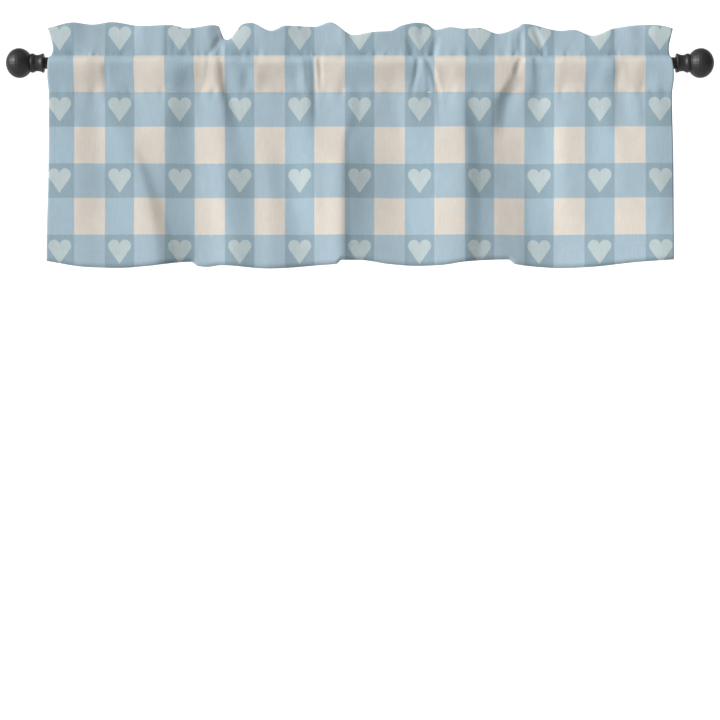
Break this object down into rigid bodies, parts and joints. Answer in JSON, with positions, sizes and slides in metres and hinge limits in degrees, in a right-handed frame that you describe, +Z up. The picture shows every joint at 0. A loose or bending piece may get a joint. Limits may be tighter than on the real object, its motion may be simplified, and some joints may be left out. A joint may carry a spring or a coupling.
{
  "type": "window valance on curtain rod",
  "caption": "Short gathered rod-pocket window valance with a ruffled header, in a light checked cloth with small hearts, on a round curtain rod with ball finials.",
  "frame": {"origin": "on the rod's axis, half-way between its ends", "axes": "+X along the rod to the right as seen from the room, -Y towards the room, +Z up"},
  "size_m": [1.331, 0.0564, 0.4642],
  "materials": {
    "checked_cloth": "matte linen-look weave, printed check of pale blue, grey-blue and cream with small hearts",
    "black_metal": "satin black paint"
  },
  "bodies": {
    "root": {"valance_cloth": "checked_cloth", "curtain_rod": "black_metal", "finial_left": "black_metal", "finial_right": "black_metal"}
  },
  "joints": []
}
